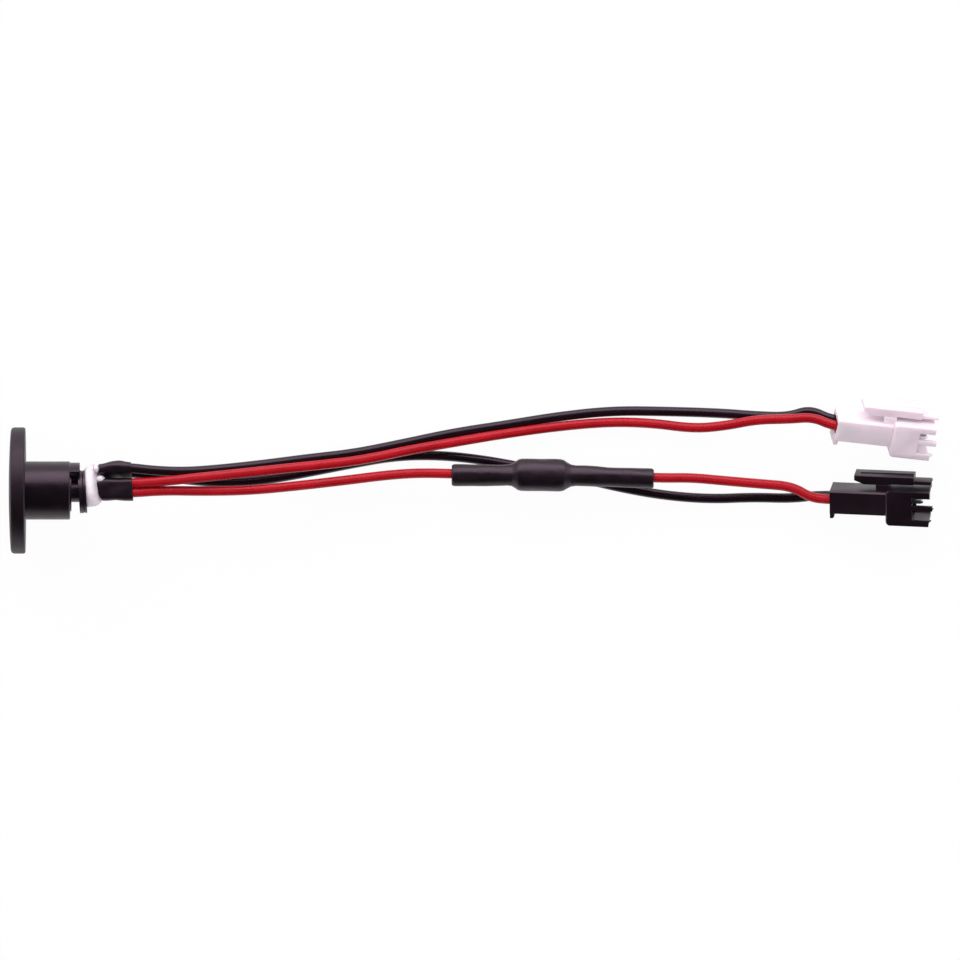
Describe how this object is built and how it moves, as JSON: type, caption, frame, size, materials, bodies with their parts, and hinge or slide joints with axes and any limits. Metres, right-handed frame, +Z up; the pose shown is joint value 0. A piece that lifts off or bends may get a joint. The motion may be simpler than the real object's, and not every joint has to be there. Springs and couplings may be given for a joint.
{
  "type": "charging port socket",
  "caption": "Round-flanged panel socket for a coaxial charging plug, with soldered red and black leads, an in-line diode under heat-shrink and latching housings at the lead ends.",
  "frame": {"origin": "centre of the flange's back face, on the barrel's axis", "axes": "+X along the barrel towards the leads, +Z up from the surface that the set lies on, +Y across"},
  "size_m": [0.1913, 0.0321, 0.026],
  "materials": {
    "shell_plastic": "satin moulded",
    "core_plastic": "matte moulded",
    "nickel_brass": "nickel plated",
    "hot_melt": "translucent, smooth",
    "heat_shrink": "satin",
    "pvc_black": "smooth",
    "pvc_red": "smooth",
    "nylon_white": "moulded, slightly translucent",
    "nylon_black": "satin moulded",
    "tinned_brass": "tin plated",
    "diode_epoxy": "moulded",
    "solder": "soft shine"
  },
  "bodies": {
    "root": {"port_shell": "shell_plastic", "contact_core": "core_plastic", "centre_pin": "nickel_brass", "outer_contact": "nickel_brass", "glue_boot": "hot_melt", "solder_lug": "solder", "solder_pin": "solder", "sleeve_black_pair": "heat_shrink", "sleeve_red_pair": "heat_shrink", "wire_black_a": "pvc_black", "wire_red_a": "pvc_red", "wire_black_b": "pvc_black", "wire_red_b_in": "pvc_red", "wire_red_b_out": "pvc_red", "diode_body": "diode_epoxy", "diode_lead_in": "tinned_brass", "diode_lead_out": "tinned_brass", "solder_in": "solder", "solder_out": "solder", "diode_sleeve": "heat_shrink", "white_housing": "nylon_white", "white_contact_a": "tinned_brass", "white_contact_b": "tinned_brass", "black_housing": "nylon_black", "black_contact_a": "tinned_brass", "black_contact_b": "tinned_brass"}
  },
  "joints": []
}
